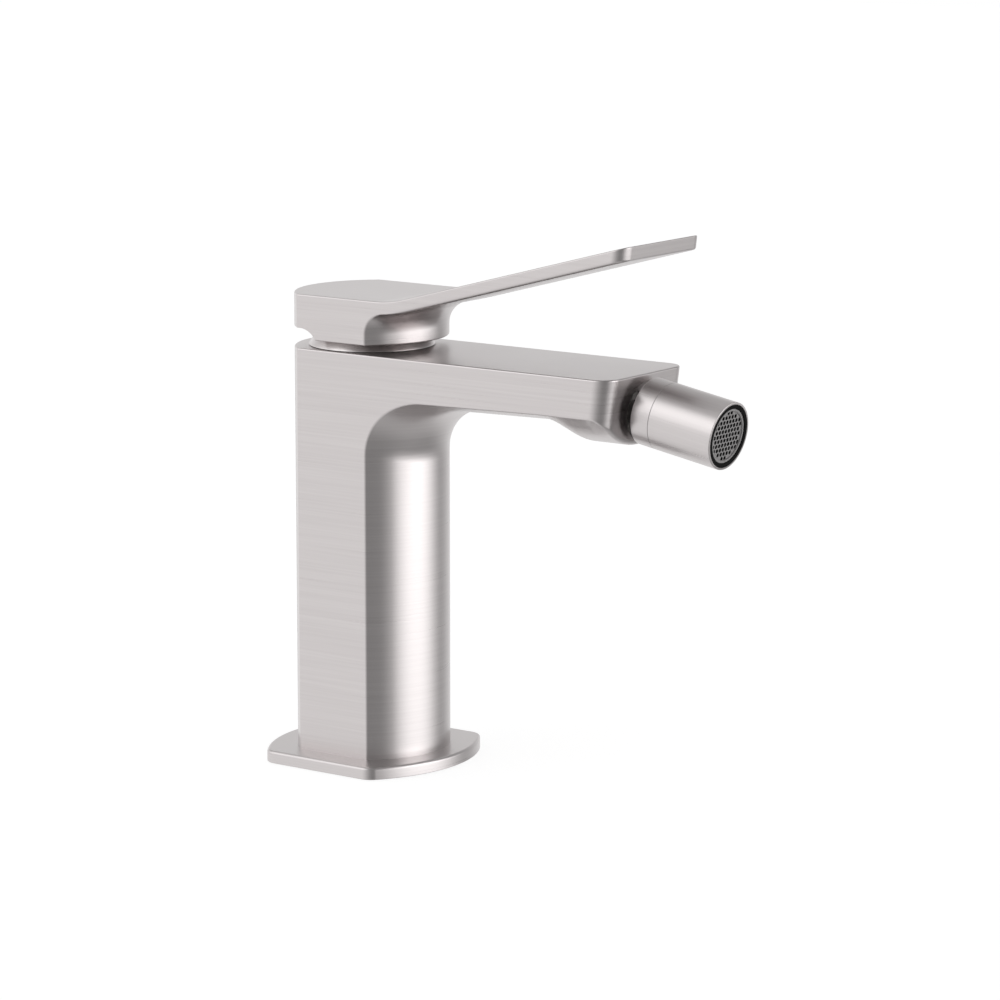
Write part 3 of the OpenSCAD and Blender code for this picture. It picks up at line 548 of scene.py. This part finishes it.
def make_lever():
    s = Surface()
    inner = HALF_WIDTH - TIP_CORNER
    between_x = inner + TIP_CORNER / 2
    middle = between(-inner, inner, 12)
    xs = [-HALF_WIDTH, -between_x] + middle + [between_x, HALF_WIDTH]
    relief_z = HUB_BOTTOM + RELIEF_RISE - RELIEF_RADIUS
    first = math.asin((HUB_BOTTOM - relief_z) / RELIEF_RADIUS)
    relief = []
    for a in between(first, RELIEF_LAST, 10):
        y = RELIEF_REACH - RELIEF_RADIUS * math.cos(a)
        relief.append((y, relief_z + RELIEF_RADIUS * math.sin(a)))
    last_y, last_z = relief[-1]

    def under_rows(x):
        face = bow(x)
        fillet_end = face + BLADE_FILLET
        joint = max(UNDER_END, fillet_end + 0.5)
        row = [(x, -d, blade_under(d)) for d in between(joint, fillet_end, BLADE_STEPS)]
        for a in between(math.pi / 2, 0, 18)[1:]:
            d = face + BLADE_FILLET * (1 - math.cos(a))
            row.append((x, -d, blade_under(d) - BLADE_FILLET * (1 - math.sin(a))))
        row.append((x, -face, HUB_BOTTOM))
        return row

    rows = [under_rows(x) for x in xs]
    s.grid(rows)
    back_low = [(x, bow(x), last_z) for x in xs]
    back_high = [(x, bow(x), HUB_TOP) for x in xs]
    s.grid([back_low, back_high])
    w = HALF_WIDTH
    s.face(back_high + [(w, -BEND_START, HUB_TOP), (-w, -BEND_START, HUB_TOP)])
    bend = [BEND_START + BLADE_BEND_RADIUS * math.sin(a) for a in between(0, BLADE_ANGLE, 8)]
    s.grid([[(side * w, -d, blade_upper(d)) for d in bend] for side in (-1, 1)])
    s.grid([[(side * w, y, z) for y, z in relief] for side in (-1, 1)])
    s.face([(-w, last_y, last_z), (w, last_y, last_z)] + back_low[::-1])
    first_y, first_z = relief[0]
    s.face([row[-1] for row in rows] + [(w, first_y, first_z), (-w, first_y, first_z)])
    highs = {}
    lows = {}
    corner_d = BLADE_REACH - TIP_CORNER
    for side in (-1, 1):
        plan = []
        for a in between(0, math.pi / 2, CORNER_STEPS):
            x = side * (inner + TIP_CORNER * math.cos(a))
            plan.append((x, corner_d + TIP_CORNER * math.sin(a)))
        highs[side] = [(x, -d, blade_upper(d)) for x, d in plan]
        lows[side] = [(x, -d + TIP_UNDERCUT, blade_under(d - TIP_UNDERCUT)) for x, d in plan]
        s.grid([lows[side], highs[side]])
        row = rows[0] if side < 0 else rows[-1]
        x = side * w
        side_face = [(x, bow(w), last_z), (x, bow(w), HUB_TOP)]
        side_face += [(x, -d, blade_upper(d)) for d in bend]
        side_face += [highs[side][0], lows[side][0]] + list(row)
        side_face += [(x, y, z) for y, z in relief]
        s.face(side_face)
    s.face([highs[-1][-1], highs[1][-1], lows[1][-1], lows[-1][-1]])
    far = [(side * w, -BEND_END, blade_upper(BEND_END)) for side in (-1, 1)]
    s.face(far + highs[1] + highs[-1][::-1])
    s.face([row[0] for row in rows] + lows[1] + lows[-1][::-1])
    piece = s.object("lever_skin")

    cut_lever(piece)

    def offset_of(p):
        in_hollow = math.hypot(p.x, p.y) < HOLLOW_EDGE and p.z < HUB_TOP - NEAR
        in_screw_hole = p.y > HUB_BACK and math.hypot(p.x, p.z - SCREW_Z) < PLUG_RADIUS + 2 * NEAR
        if in_hollow or in_screw_hole:
            return 0.0
        if p.y > 0 and p.z < last_z + NEAR:
            return RELIEF_ROUNDING
        return EDGE_ROUNDING

    soften(piece, offset_of)
    line = []
    for side in (-1, 1):
        row = rows[0] if side < 0 else rows[-1]
        for k, p in enumerate(row[:BLADE_STEPS + 1]):
            radius = EDGE_ROUNDING + (BLADE_ROUNDING - EDGE_ROUNDING) * ease(1 - k / BLADE_STEPS)
            line.append((Vector(p), radius))
        for k, p in enumerate(lows[side]):
            radius = EDGE_ROUNDING + (BLADE_ROUNDING - EDGE_ROUNDING) * ease(1 - k / CORNER_STEPS)
            line.append((Vector(p), radius))
    grow_rounding(piece, line)
    shade(piece)
    return piece


# Base plate
def base_outline(inset):
    """Plan of the base plate, drawn in by an inset."""
    radius = BASE_BOW_RADIUS
    corner = BASE_CORNER
    offset_y = radius - BASE_HALF_DEPTH
    px = BASE_HALF_WIDTH - corner
    py = math.sqrt((radius - corner) ** 2 - px * px) - offset_y
    turn = math.atan2(py + offset_y, px)
    quarter = []
    for a in between(0, turn, 10):
        quarter.append((px + (corner - inset) * math.cos(a), py + (corner - inset) * math.sin(a)))
    for a in between(turn, math.pi / 2, 14)[1:]:
        quarter.append(((radius - inset) * math.cos(a), (radius - inset) * math.sin(a) - offset_y))
    found = list(quarter)
    found += [(-x, y) for x, y in quarter[-2::-1]]
    found += [(-x, -y) for x, y in quarter]
    found += [(x, -y) for x, y in quarter[-2::-1]]
    return found


def make_base():
    s = Surface()
    levels = [(BASE_CHAMFER, 0.0), (0.0, BASE_CHAMFER)]
    for a in between(0, math.pi / 2, 6):
        z = BASE_TOP - BASE_ROUNDING + BASE_ROUNDING * math.sin(a)
        levels.append((BASE_ROUNDING * (1 - math.cos(a)), z))
    rows = []
    for inset, z in levels:
        row = [(x, y, z) for x, y in base_outline(inset)]
        rows.append(row + row[:1])
    s.grid(rows)
    s.face(rows[0][:-1])
    s.face(rows[-1][:-1])
    piece = s.object("base_skin")
    combine(piece, rod("hole", SPIGOT_HOLE_RADIUS, -CUT_PAST, HOLE_CUT_TOP, 96), "DIFFERENCE")
    groove = [(GROOVE_INNER, -CUT_PAST), (GROOVE_OUTER, -CUT_PAST)]
    groove += [(GROOVE_OUTER, GROOVE_DEPTH), (GROOVE_INNER, GROOVE_DEPTH)]
    combine(piece, lathe("groove", groove, 96), "DIFFERENCE")
    shade(piece)
    return piece


# Domed ring under the lever
def make_ring():
    low_z = RING_BOTTOM
    first = math.degrees(math.asin((low_z + RING_EDGE - PIVOT_Z) / DOME_RADIUS))
    last = math.degrees(math.acos(RING_HOLE / DOME_RADIUS))
    inner = DOME_RADIUS - RING_WALL
    foot_z = BODY_TOP - FOOT_DROP
    profile = [(FOOT_INNER, foot_z), (FOOT_OUTER, foot_z), (FOOT_OUTER, low_z)]
    profile += [(RING_RADIUS - RING_EDGE, low_z), (RING_RADIUS - 0.08, low_z + 0.07)]
    profile += arc_points((0, PIVOT_Z), DOME_RADIUS, first, last - 0.6, 24)
    profile += [(RING_HOLE, PIVOT_Z + DOME_RADIUS * math.sin(math.radians(last)) - RING_EDGE)]
    low_end = math.degrees(math.acos(RING_HOLE / inner))
    profile += arc_points((0, PIVOT_Z), inner, low_end, 41, 12)
    profile += [(FOOT_INNER, PIVOT_Z + math.sqrt(inner ** 2 - FOOT_INNER ** 2))]
    piece = lathe("ring_skin", profile, 160)
    shade(piece)
    return piece


# Nozzle pieces, made along z from the ball's centre and then set in place
def make_collar():
    end = SEAM - HALF_SEAM
    back = -math.degrees(math.asin(COLLAR_BACK / COLLAR_SOCKET))
    profile = arc_points((0, 0), COLLAR_SOCKET, back, 0, 12)
    profile += [(COLLAR_SOCKET, COLLAR_FRONT), (COLLAR_THREAD, COLLAR_FRONT), (COLLAR_THREAD, end)]
    profile += [(NOZZLE_RADIUS - SEAM_BREAK, end), (NOZZLE_RADIUS, end - SEAM_BREAK)]
    centre = (NOZZLE_RADIUS - COLLAR_ROUNDING, -COLLAR_BACK + COLLAR_ROUNDING)
    profile += arc_points(centre, COLLAR_ROUNDING, 0, -90, 5)
    piece = lathe("collar_skin", profile, 160)
    shade(piece)
    return piece


def make_sleeve():
    start = SEAM + HALF_SEAM
    profile = [(SLEEVE_THREAD, start), (NOZZLE_RADIUS - SEAM_BREAK, start)]
    profile += [(NOZZLE_RADIUS, start + SEAM_BREAK)]
    centre = (NOZZLE_RADIUS - MOUTH_ROUNDING, NOZZLE_LENGTH - MOUTH_ROUNDING)
    profile += arc_points(centre, MOUTH_ROUNDING, 0, 90, 4)
    profile += [(SLEEVE_MOUTH, NOZZLE_LENGTH), (SLEEVE_MOUTH, SLEEVE_FLOOR)]
    profile += [(SLEEVE_BORE, SLEEVE_FLOOR), (SLEEVE_BORE, SLEEVE_THREAD_END)]
    profile += [(SLEEVE_THREAD, SLEEVE_THREAD_END)]
    piece = lathe("sleeve_skin", profile, 160)
    shade(piece)
    return piece


def make_aerator_rim():
    start = NOZZLE_LENGTH - AERATOR_LENGTH
    floor_z = start + AERATOR_FLOOR
    rounding_z = NOZZLE_LENGTH - MOUTH_ROUNDING
    profile = [(AERATOR_HOLE, start), (AERATOR_OUTER, start)]
    profile += arc_points((AERATOR_OUTER - MOUTH_ROUNDING, rounding_z), MOUTH_ROUNDING, 0, 90, 4)
    profile += arc_points((AERATOR_INNER + MOUTH_ROUNDING, rounding_z), MOUTH_ROUNDING, 90, 180, 4)
    profile += [(AERATOR_INNER, floor_z), (AERATOR_HOLE, floor_z)]
    piece = lathe("aerator_rim", profile, 160)
    shade(piece)
    return piece


def place_at(piece, matrix):
    piece.matrix_world = matrix
    return piece


body = make_body()
lever = make_lever()
base = make_base()
ring = make_ring()
collar = place_at(make_collar(), AT_NOZZLE)
sleeve = place_at(make_sleeve(), AT_NOZZLE)
rim = place_at(make_aerator_rim(), AT_NOZZLE)

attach(body, "mixer")
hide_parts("body")
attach(base, "mixer")
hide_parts("base_plate")
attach(ring, "mixer")
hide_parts("trim_ring")
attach(lever, "lever")
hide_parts("lever")
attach(collar, "nozzle")
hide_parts("nozzle_collar")
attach(sleeve, "nozzle")
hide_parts("nozzle_sleeve")
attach(rim, "nozzle")
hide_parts("aerator_housing")


# Brush direction
LEVEL_LIMIT = 0.8
BRUSH_SCALE = 10


def brush_map(piece, lay):
    """UV map whose first axis runs across the brush lines; lay names how the lines run."""
    mesh = piece.data
    while mesh.uv_layers:
        mesh.uv_layers.remove(mesh.uv_layers[0])
    layer = mesh.uv_layers.new(name="brush")
    for p in mesh.polygons:
        n = p.normal
        if lay == "column":
            across = Vector((0, 0, 1)) if abs(n.z) < LEVEL_LIMIT else Vector((1, 0, 0))
        elif lay == "ring":
            c = p.center
            across = Vector((c.x, c.y, 0))
            if abs(n.z) < LEVEL_LIMIT:
                across = Vector((0, 0, 1))
        else:
            c = p.center
            across = Vector((-c.y, c.x, 0))
        across = across - n * across.dot(n)
        if across.length < 1e-9:
            across = n.orthogonal()
        across.normalize()
        along = n.cross(across)
        for i in p.loop_indices:
            co = mesh.vertices[mesh.loops[i].vertex_index].co
            layer.data[i].uv = (co.dot(across) * BRUSH_SCALE, co.dot(along) * BRUSH_SCALE)


brush_map(body, "column")
brush_map(lever, "column")
brush_map(base, "column")
brush_map(ring, "ring")
brush_map(collar, "axis")
brush_map(sleeve, "axis")


# Materials
NICKEL_DARK = (0.605, 0.571, 0.569, 1)
NICKEL_LIGHT = (0.659, 0.626, 0.623, 1)
NICKEL_ROUGHNESS = (0.27, 0.33)
STREAKS = (0.3, 0.7)


def new_material(name):
    mat = bpy.data.materials.new(name)
    mat.use_nodes = True
    tree = mat.node_tree
    return mat, tree, tree.nodes["Principled BSDF"]


def brushed_nickel(name, stretch):
    """Brushed nickel; its noise is fine along the axes with a large stretch."""
    mat, tree, shader = new_material(name)
    add = tree.nodes.new
    link = tree.links.new
    shader.inputs["Metallic"].default_value = 1.0
    shader.inputs["Anisotropic"].default_value = 0.55
    coords = add("ShaderNodeTexCoord")
    mapping = add("ShaderNodeMapping")
    mapping.inputs["Scale"].default_value = stretch
    link(coords.outputs["Object"], mapping.inputs["Vector"])
    fine = add("ShaderNodeTexNoise")
    fine.inputs["Scale"].default_value = 1.0
    fine.inputs["Detail"].default_value = 4.0
    fine.inputs["Roughness"].default_value = 0.65
    link(mapping.outputs["Vector"], fine.inputs["Vector"])
    tint = add("ShaderNodeMapRange")
    tint.inputs["From Min"].default_value = STREAKS[0]
    tint.inputs["From Max"].default_value = STREAKS[1]
    link(fine.outputs["Fac"], tint.inputs["Value"])
    mix = add("ShaderNodeMix")
    mix.data_type = "RGBA"
    mix.inputs["A"].default_value = NICKEL_DARK
    mix.inputs["B"].default_value = NICKEL_LIGHT
    link(tint.outputs["Result"], mix.inputs["Factor"])
    link(mix.outputs["Result"], shader.inputs["Base Color"])
    rough = add("ShaderNodeMapRange")
    rough.inputs["From Min"].default_value = STREAKS[0]
    rough.inputs["From Max"].default_value = STREAKS[1]
    rough.inputs["To Min"].default_value = NICKEL_ROUGHNESS[0]
    rough.inputs["To Max"].default_value = NICKEL_ROUGHNESS[1]
    link(fine.outputs["Fac"], rough.inputs["Value"])
    link(rough.outputs["Result"], shader.inputs["Roughness"])
    bump = add("ShaderNodeBump")
    bump.inputs["Strength"].default_value = 0.12
    bump.inputs["Distance"].default_value = 0.0001
    link(fine.outputs["Fac"], bump.inputs["Height"])
    link(bump.outputs["Normal"], shader.inputs["Normal"])
    tangent = add("ShaderNodeTangent")
    tangent.direction_type = "UV_MAP"
    tangent.uv_map = "brush"
    link(tangent.outputs["Tangent"], shader.inputs["Tangent"])
    return mat


def plain_material(name, colour, metallic, roughness, grain, depth):
    """Cast or moulded material with a fine grain in its colour, gloss and relief."""
    mat, tree, shader = new_material(name)
    add = tree.nodes.new
    link = tree.links.new
    shader.inputs["Metallic"].default_value = metallic
    coords = add("ShaderNodeTexCoord")
    noise = add("ShaderNodeTexNoise")
    noise.inputs["Scale"].default_value = grain
    noise.inputs["Detail"].default_value = 4.0
    link(coords.outputs["Object"], noise.inputs["Vector"])
    mix = add("ShaderNodeMix")
    mix.data_type = "RGBA"
    mix.inputs["A"].default_value = (*[c * 0.88 for c in colour], 1)
    mix.inputs["B"].default_value = (*[min(1.0, c * 1.1) for c in colour], 1)
    link(noise.outputs["Fac"], mix.inputs["Factor"])
    link(mix.outputs["Result"], shader.inputs["Base Color"])
    rough = add("ShaderNodeMapRange")
    rough.inputs["To Min"].default_value = max(0.02, roughness - 0.08)
    rough.inputs["To Max"].default_value = roughness + 0.08
    link(noise.outputs["Fac"], rough.inputs["Value"])
    link(rough.outputs["Result"], shader.inputs["Roughness"])
    bump = add("ShaderNodeBump")
    bump.inputs["Strength"].default_value = 0.2
    bump.inputs["Distance"].default_value = depth
    link(noise.outputs["Fac"], bump.inputs["Height"])
    link(bump.outputs["Normal"], shader.inputs["Normal"])
    return mat


def honeycomb_material(name, light, cell_shade):
    """Moulded material with painted shade: below the front of the honeycomb's walls, inside the cells,
    its colour turns near black.
    """
    mat = plain_material(name, light, 0.0, 0.45, 1500, 0.00002)
    tree = mat.node_tree
    shader = tree.nodes["Principled BSDF"]
    add = tree.nodes.new
    link = tree.links.new
    face_colour = shader.inputs["Base Color"].links[0].from_socket
    coords = add("ShaderNodeTexCoord")
    along = add("ShaderNodeVectorMath")
    along.operation = "DOT_PRODUCT"
    along.inputs[1].default_value = NOZZLE_AXIS
    link(coords.outputs["Object"], along.inputs[0])
    # Painted shade: depth along the nozzle's axis darkens the cells' walls below their front
    front = BALL.dot(NOZZLE_AXIS) + HONEYCOMB_FRONT
    share = add("ShaderNodeMapRange")
    share.inputs["From Min"].default_value = (front - 0.1) / 1000
    share.inputs["From Max"].default_value = (front - 0.02) / 1000
    link(along.outputs["Value"], share.inputs["Value"])
    mix = add("ShaderNodeMix")
    mix.data_type = "RGBA"
    mix.inputs["A"].default_value = (*cell_shade, 1)
    link(share.outputs["Result"], mix.inputs["Factor"])
    link(face_colour, mix.inputs["B"])
    link(mix.outputs["Result"], shader.inputs["Base Color"])
    return mat


nickel_level = brushed_nickel("nickel_brushed_level", (12, 12, 1500))
nickel_turned = brushed_nickel("nickel_brushed_round", (900, 900, 12))
brass = plain_material("brass_machined", (0.70, 0.52, 0.25), 1.0, 0.3, 900, 0.00003)
steel = plain_material("steel_plain", (0.56, 0.57, 0.58), 1.0, 0.28, 900, 0.00003)
rubber = plain_material("rubber_black", (0.018, 0.018, 0.019), 0.0, 0.7, 1500, 0.00005)
ceramic = plain_material("ceramic_ground", (0.82, 0.80, 0.76), 0.0, 0.2, 1200, 0.00001)
white_plastic = plain_material("plastic_white", (0.74, 0.74, 0.71), 0.0, 0.4, 1500, 0.00002)
grey_plastic = plain_material("plastic_grey", (0.30, 0.30, 0.31), 0.0, 0.42, 1500, 0.00002)
# The near-black second colour is painted shade inside the honeycomb's cells
mesh_plastic = honeycomb_material("plastic_mesh", (0.32, 0.31, 0.31), (0.02, 0.02, 0.02))
black_plastic = plain_material("plastic_black", (0.004, 0.004, 0.004), 0.0, 0.5, 1500, 0.00002)
black_plastic.node_tree.nodes["Principled BSDF"].inputs["Specular IOR Level"].default_value = 0.06
# Satin steel whose lower colour is partly painted shade, so the ball in the gap behind the collar reads
# dark
ball_steel_shaded = plain_material("steel_satin_shaded", (0.45, 0.44, 0.43), 1.0, 0.6, 300, 0.000002)


def dress(piece, mat):
    piece.data.materials.clear()
    piece.data.materials.append(mat)


def dress_node(name, mat):
    piece = nodes[name]
    for s in piece.material_slots:
        s.material = mat


dress(body, nickel_level)
dress(base, nickel_level)
dress(ring, nickel_level)
dress(lever, nickel_level)
dress(collar, nickel_turned)
dress(sleeve, nickel_turned)
dress(rim, black_plastic)
dress_node("cartridge_nut", brass)
dress_node("ball_stem", ball_steel_shaded)
for name in ("stem", "pivot_pin", "grub_screw"):
    dress_node(name, steel)
for name in ("base_gasket", "port_seals", "housing_seal", "stem_seal", "seat_seal", "aerator_washer"):
    dress_node(name, rubber)
for name in ("fixed_disc", "moving_disc"):
    dress_node(name, ceramic)
for name in ("cartridge_base", "cartridge_housing", "ball_liner", "ball_seat"):
    dress_node(name, white_plastic)
for name in ("disc_carrier", "rotor", "aerator_core"):
    dress_node(name, grey_plastic)
dress_node("aerator_screen", mesh_plastic)
dress_node("screw_plug", steel)

# Floor, light and camera
scene = bpy.context.scene
scene.view_settings.view_transform = "Standard"


def aim(thing, place, target):
    thing.location = Vector(place)
    thing.rotation_euler = (Vector(target) - Vector(place)).to_track_quat("-Z", "Y").to_euler()


def soft_light(name, azimuth, elevation, distance, width, height, power):
    lamp = bpy.data.lights.new(name, "AREA")
    lamp.shape = "RECTANGLE"
    lamp.size = width
    lamp.size_y = height
    lamp.energy = power
    made = bpy.data.objects.new(name, lamp)
    scene.collection.objects.link(made)
    a = math.radians(azimuth)
    e = math.radians(elevation)
    middle = Vector((0, -0.03, 0.08))
    back = Vector((math.sin(a) * math.cos(e), -math.cos(a) * math.cos(e), math.sin(e)))
    aim(made, middle + back * distance, middle)
    made.visible_camera = False


soft_light("fill", -122, 38, 1.6, 0.8, 0.7, 0.8)

# The studio that metal mirrors: pale panels behind, a bright one in front, a dim camera side
ROOM_LEVEL = 0.29
GROUND_LEVEL = 0.27
world = bpy.data.worlds.new("studio")
scene.world = world
world.use_nodes = True
tree = world.node_tree
add = tree.nodes.new
link = tree.links.new
coords = add("ShaderNodeTexCoord")
split = add("ShaderNodeSeparateXYZ")
link(coords.outputs["Generated"], split.inputs["Vector"])


def number(operation, *values):
    """A sum of the world's node tree; each value is a number or an output."""
    made = add("ShaderNodeMath")
    made.operation = operation
    for slot, value in zip(made.inputs, values):
        if isinstance(value, (int, float)):
            slot.default_value = value
        else:
            link(value, slot)
    return made.outputs[0]


def fade(value, first, last):
    """Goes smoothly from 0 at the first value to 1 at the last."""
    made = add("ShaderNodeMapRange")
    made.interpolation_type = "SMOOTHSTEP"
    made.inputs["From Min"].default_value = first
    made.inputs["From Max"].default_value = last
    link(value, made.inputs["Value"])
    return made.outputs["Result"]


front = number("MULTIPLY", split.outputs["Y"], -1)
azimuth = number("MULTIPLY", number("ARCTAN2", split.outputs["X"], front), 180 / math.pi)
height = split.outputs["Z"]


def panel(middle, inner, outer, low, high, strength):
    """Soft panel round an azimuth in degrees, between two pairs of heights."""
    turn = number("WRAP", number("SUBTRACT", azimuth, middle), 180, -180)
    across = fade(number("ABSOLUTE", turn), outer, inner)
    tall = number("MULTIPLY", fade(height, low[0], low[1]), fade(height, high[1], high[0]))
    return number("MULTIPLY", number("MULTIPLY", across, tall), strength)


back_panel = panel(180, 50, 135, (-1.0, -0.62), (0.8, 1.3), 0.30)
low_panel = panel(180, 50, 135, (-1.0, -0.62), (0.17, 0.52), 0.38)
key_panel = panel(19, 6, 54, (-0.40, -0.10), (0.05, 0.35), 2.42)
upper_panel = panel(17, 6, 34, (0.05, 0.35), (0.5, 0.8), 1.6)
high_panel = panel(-130, 25, 60, (0.08, 0.27), (0.65, 0.92), 0.62)
ground = number("MULTIPLY", fade(height, -0.6, -0.97), GROUND_LEVEL)
back_panels = number("ADD", number("ADD", back_panel, low_panel), high_panel)
panels = number("ADD", back_panels, number("ADD", key_panel, upper_panel))
studio = number("ADD", panels, number("ADD", ground, ROOM_LEVEL))
path = add("ShaderNodeLightPath")
seen = number("MAXIMUM", path.outputs["Is Camera Ray"], path.outputs["Is Transmission Ray"])
tone = add("ShaderNodeMix")
tone.data_type = "FLOAT"
tone.inputs["B"].default_value = 1.0
link(seen, tone.inputs["Factor"])
link(studio, tone.inputs["A"])
link(tone.outputs["Result"], tree.nodes["Background"].inputs["Strength"])
tree.nodes["Background"].inputs["Color"].default_value = (1, 1, 1, 1)

# Floor: pale to the camera, with the object's shadow, and clear to mirrored rays
bpy.ops.mesh.primitive_plane_add(size=6, location=(0, 0, -0.0003))
floor = bpy.context.object
floor.name = "floor"
mat, tree, shader = new_material("floor_white")
shader.inputs["Base Color"].default_value = (0.85, 0.85, 0.85, 1)
shader.inputs["Roughness"].default_value = 0.9
shader.inputs["Specular IOR Level"].default_value = 0.0
add = tree.nodes.new
link = tree.links.new
path = add("ShaderNodeLightPath")
white = add("ShaderNodeEmission")
white.inputs["Strength"].default_value = 0.86
soft = add("ShaderNodeBsdfDiffuse")
soft.inputs["Color"].default_value = (0.25, 0.25, 0.25, 1)
lit = add("ShaderNodeAddShader")
link(white.outputs["Emission"], lit.inputs[0])
link(soft.outputs["BSDF"], lit.inputs[1])
clear = add("ShaderNodeBsdfTransparent")
camera_mix = add("ShaderNodeMixShader")
clear_mix = add("ShaderNodeMixShader")
link(path.outputs["Is Camera Ray"], camera_mix.inputs["Fac"])
link(shader.outputs["BSDF"], camera_mix.inputs[1])
link(lit.outputs["Shader"], camera_mix.inputs[2])
link(path.outputs["Is Glossy Ray"], clear_mix.inputs["Fac"])
link(camera_mix.outputs["Shader"], clear_mix.inputs[1])
link(clear.outputs["BSDF"], clear_mix.inputs[2])
link(clear_mix.outputs["Shader"], tree.nodes["Material Output"].inputs["Surface"])
floor.data.materials.append(mat)

# Camera, fitted to the photograph's straight edges
CAMERA_PLACE = (-0.98418, -0.75822, 0.30711)
CAMERA_TARGET = (0.022136, -0.030615, 0.077439)
FOCAL_LENGTH = 152.79
lens = bpy.data.cameras.new("camera")
lens.sensor_width = 36.0
lens.lens = FOCAL_LENGTH
lens.clip_start = 0.05
lens.clip_end = 50.0
camera = bpy.data.objects.new("camera", lens)
scene.collection.objects.link(camera)
aim(camera, CAMERA_PLACE, CAMERA_TARGET)
scene.camera = camera
